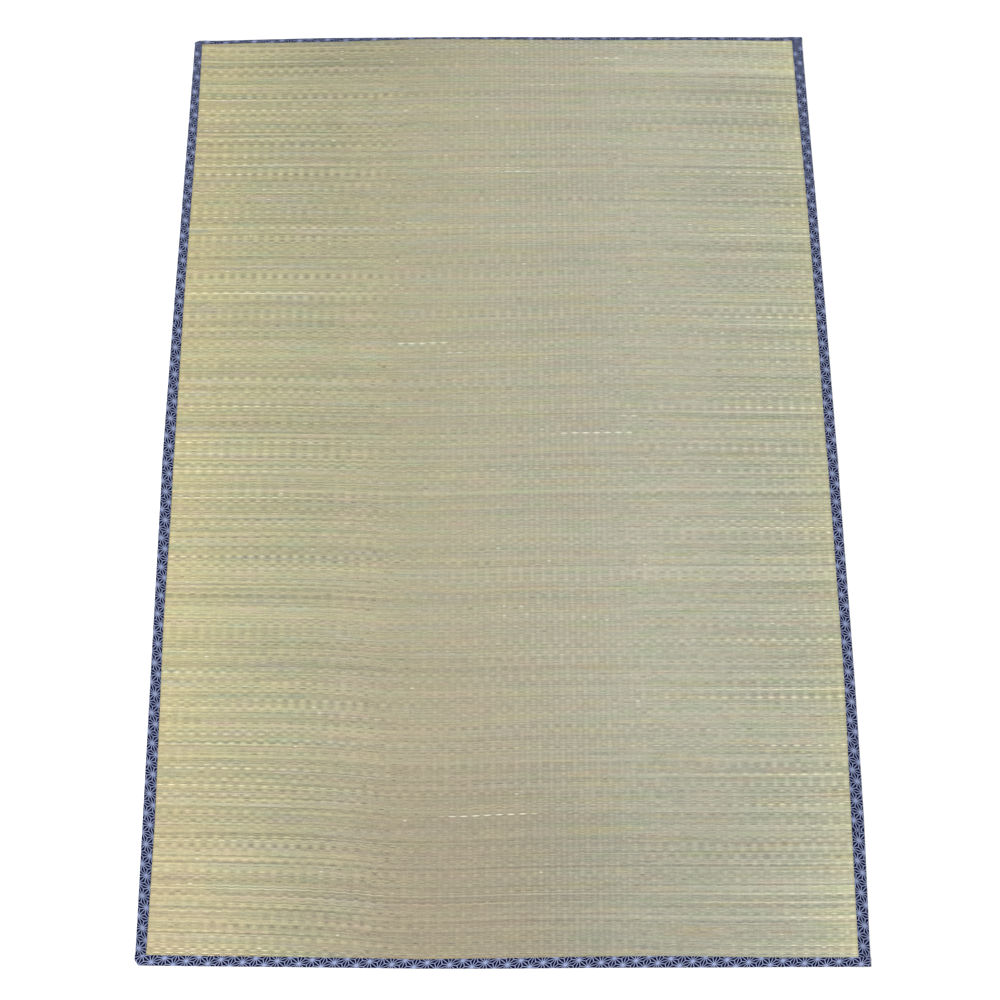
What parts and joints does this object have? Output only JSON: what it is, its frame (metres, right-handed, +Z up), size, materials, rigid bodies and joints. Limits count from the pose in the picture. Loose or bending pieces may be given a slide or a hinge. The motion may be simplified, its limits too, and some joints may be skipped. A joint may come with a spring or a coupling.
{
  "type": "grass sleeping mat",
  "caption": "Wide flat sleeping mat of woven soft rush, bound on its four edges with folded star-printed cloth tape.",
  "frame": {"origin": "centre of the mat on the floor, under the middle of its outline", "axes": "+Y along the mat's length from its foot to its head, +X across it to the right, +Z up"},
  "size_m": [1.7668, 2.6244, 0.0078],
  "materials": {
    "rush": "woven dried rush, pale green to straw yellow, satin",
    "tape": "matt plain-woven cloth, pale lavender hemp-leaf stars printed on navy"
  },
  "bodies": {
    "root": {"rush_panel": "rush", "left_binding": "tape", "right_binding": "tape", "foot_binding": "tape", "head_binding": "tape"}
  },
  "joints": []
}
